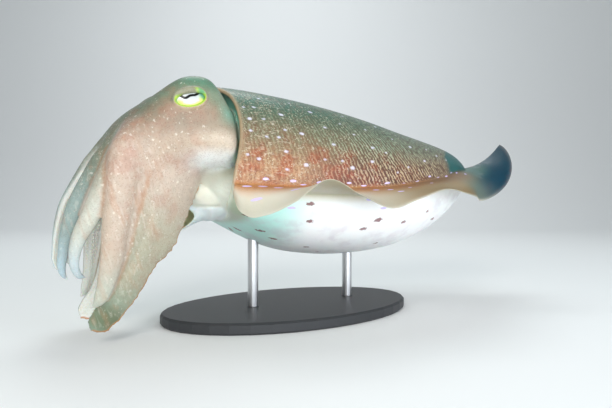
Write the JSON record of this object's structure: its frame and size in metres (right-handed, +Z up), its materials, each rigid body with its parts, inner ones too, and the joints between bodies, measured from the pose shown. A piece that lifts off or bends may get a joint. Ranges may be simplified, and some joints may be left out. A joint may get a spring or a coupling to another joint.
{
  "type": "cuttlefish model",
  "caption": "Life-size pharaoh cuttlefish hovering with its arms drooped and its fins rippling, held over an oval display base.",
  "frame": {"origin": "centre of the oval stand base's underside", "axes": "+Z up, +X from the head towards the tail along the animal's length, +Y towards the animal's right side"},
  "size_m": [0.4397, 0.2218, 0.188],
  "materials": {
    "skin": "soft wet sheen, painted skin markings",
    "eye": "clear glossy",
    "beak": "satin",
    "stand_base": "satin",
    "stand_rod": "brushed"
  },
  "bodies": {
    "root": {"arm1_left_base": "skin", "arm1_left_middle": "skin", "arm1_left_tip": "skin", "arm1_right_base": "skin", "arm1_right_middle": "skin", "arm1_right_tip": "skin", "arm2_left_base": "skin", "arm2_left_middle": "skin", "arm2_left_tip": "skin", "arm2_right_base": "skin", "arm2_right_middle": "skin", "arm2_right_tip": "skin", "arm3_left_base": "skin", "arm3_left_middle": "skin", "arm3_left_tip": "skin", "arm3_right_base": "skin", "arm3_right_middle": "skin", "arm3_right_tip": "skin", "arm4_left_base": "skin", "arm4_left_middle": "skin", "arm4_left_tip": "skin", "arm4_right_base": "skin", "arm4_right_middle": "skin", "arm4_right_tip": "skin", "eye_left": "eye", "eye_right": "eye", "fin_left_front": "skin", "fin_left_middle": "skin", "fin_left_tail": "skin", "fin_right_front": "skin", "fin_right_middle": "skin", "fin_right_tail": "skin", "funnel": "skin", "head": "skin", "mantle": "skin", "mouth": "beak", "stand_base": "stand_base", "stand_rod_front": "stand_rod", "stand_rod_rear": "stand_rod"}
  },
  "joints": []
}
